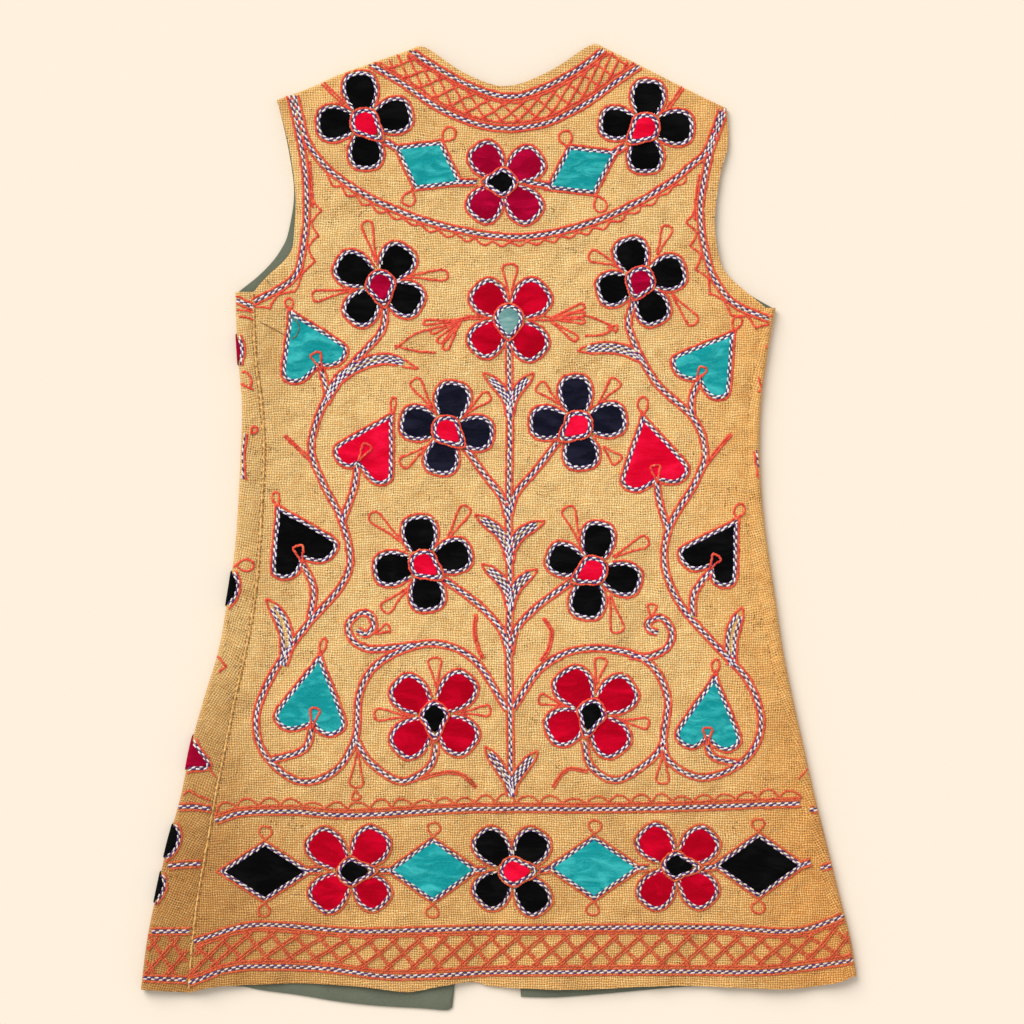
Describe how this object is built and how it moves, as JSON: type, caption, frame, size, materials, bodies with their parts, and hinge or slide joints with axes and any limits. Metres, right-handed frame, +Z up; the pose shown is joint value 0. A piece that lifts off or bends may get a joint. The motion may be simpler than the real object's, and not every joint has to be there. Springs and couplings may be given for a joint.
{
  "type": "embroidered waistcoat",
  "caption": "Long sleeveless hessian waistcoat laid flat with its back up: A-line panels, side folds, velvet applique flowers, hearts and diamonds, sage lining at the hem.",
  "frame": {"origin": "middle of the laid garment's outline, on the surface that it lies on", "axes": "+Y towards the neck, +X to the right of the view of the back, +Z up from the surface"},
  "size_m": [0.5872, 0.7935, 0.0093],
  "materials": {
    "hessian": "coarse plain weave, golden jute",
    "lining": "sage green cotton, matt",
    "velvet_black": "black cotton velvet",
    "velvet_navy": "blue-black cotton velvet",
    "velvet_red": "bright red cotton velvet",
    "velvet_dark_red": "dark red cotton velvet",
    "velvet_crimson": "crimson cotton velvet",
    "velvet_turquoise": "turquoise cotton velvet",
    "velvet_teal": "grey-teal cotton velvet",
    "thread_orange": "orange-red cotton thread",
    "thread_white": "off-white cotton thread",
    "thread_purple": "purple cotton thread"
  },
  "bodies": {
    "root": {"back": "hessian", "front_left": "hessian", "front_right": "hessian", "lining_left": "lining", "lining_right": "lining", "yoke_flower_left": "velvet_black", "yoke_flower_left_centre": "velvet_red", "yoke_flower_middle": "velvet_crimson", "yoke_flower_middle_centre": "velvet_black", "yoke_flower_right": "velvet_black", "yoke_flower_right_centre": "velvet_red", "shoulder_flower_left": "velvet_black", "shoulder_flower_left_centre": "velvet_crimson", "shoulder_flower_right": "velvet_black", "shoulder_flower_right_centre": "velvet_crimson", "chest_flower": "velvet_red", "chest_flower_centre": "velvet_teal", "waist_flower_left": "velvet_navy", "waist_flower_left_centre": "velvet_red", "waist_flower_right": "velvet_navy", "waist_flower_right_centre": "velvet_red", "hip_flower_left": "velvet_black", "hip_flower_left_centre": "velvet_red", "hip_flower_right": "velvet_black", "hip_flower_right_centre": "velvet_red", "skirt_flower_left": "velvet_red", "skirt_flower_left_centre": "velvet_black", "skirt_flower_right": "velvet_red", "skirt_flower_right_centre": "velvet_black", "hem_flower_left": "velvet_red", "hem_flower_left_centre": "velvet_black", "hem_flower_middle": "velvet_black", "hem_flower_middle_centre": "velvet_red", "hem_flower_right": "velvet_red", "hem_flower_right_centre": "velvet_black", "shoulder_heart_left": "velvet_turquoise", "shoulder_heart_right": "velvet_turquoise", "waist_heart_left": "velvet_red", "waist_heart_right": "velvet_red", "hip_heart_left": "velvet_black", "hip_heart_right": "velvet_black", "skirt_heart_left": "velvet_turquoise", "skirt_heart_right": "velvet_turquoise", "yoke_diamond_left": "velvet_turquoise", "yoke_diamond_right": "velvet_turquoise", "hem_diamond_1": "velvet_black", "hem_diamond_2": "velvet_turquoise", "hem_diamond_3": "velvet_turquoise", "hem_diamond_4": "velvet_black", "front_petal_top": "velvet_crimson", "front_petal_middle": "velvet_black", "front_petal_hem_upper": "velvet_black", "front_petal_hem_lower": "velvet_black", "front_heart": "velvet_dark_red"}
  },
  "joints": []
}
